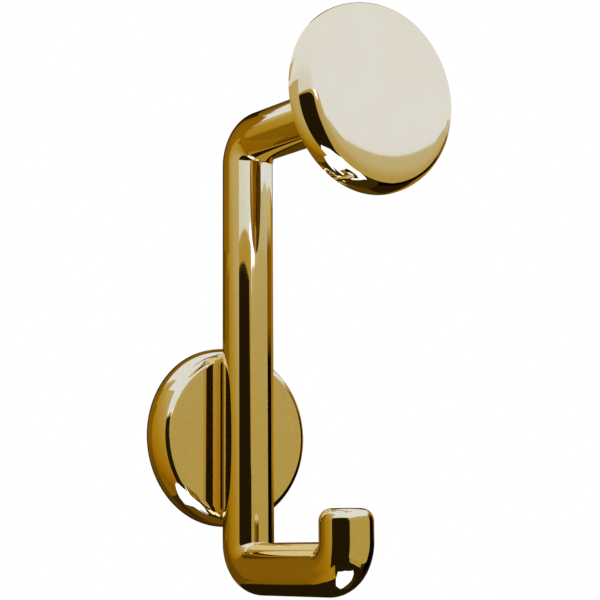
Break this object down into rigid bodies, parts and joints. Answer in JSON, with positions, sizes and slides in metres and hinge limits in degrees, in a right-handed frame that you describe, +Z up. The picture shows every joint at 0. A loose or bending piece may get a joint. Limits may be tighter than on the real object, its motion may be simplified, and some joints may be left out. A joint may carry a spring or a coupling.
{
  "type": "hat and coat hook",
  "caption": "Wall hook of round bar on a round rose: an arm above carries a disc knob for a hat, and a foot below ends in a short upturned prong for a coat.",
  "frame": {"origin": "centre of the rose on the wall, which is also the middle of the wall plate's two screw holes", "axes": "+Z up the wall; -Y out from the wall, towards the knob and the prong; +X to the right as seen from the front"},
  "size_m": [0.045, 0.0671, 0.1366],
  "materials": {
    "polished_brass": "mirror-polished, lacquered",
    "plated_steel": "bright zinc plate"
  },
  "bodies": {
    "root": {"rose": "polished_brass", "hook_body": "polished_brass", "hat_knob": "polished_brass", "wall_plate": "plated_steel", "body_screw": "plated_steel", "knob_stud": "plated_steel", "grub_screw": "plated_steel"}
  },
  "joints": []
}
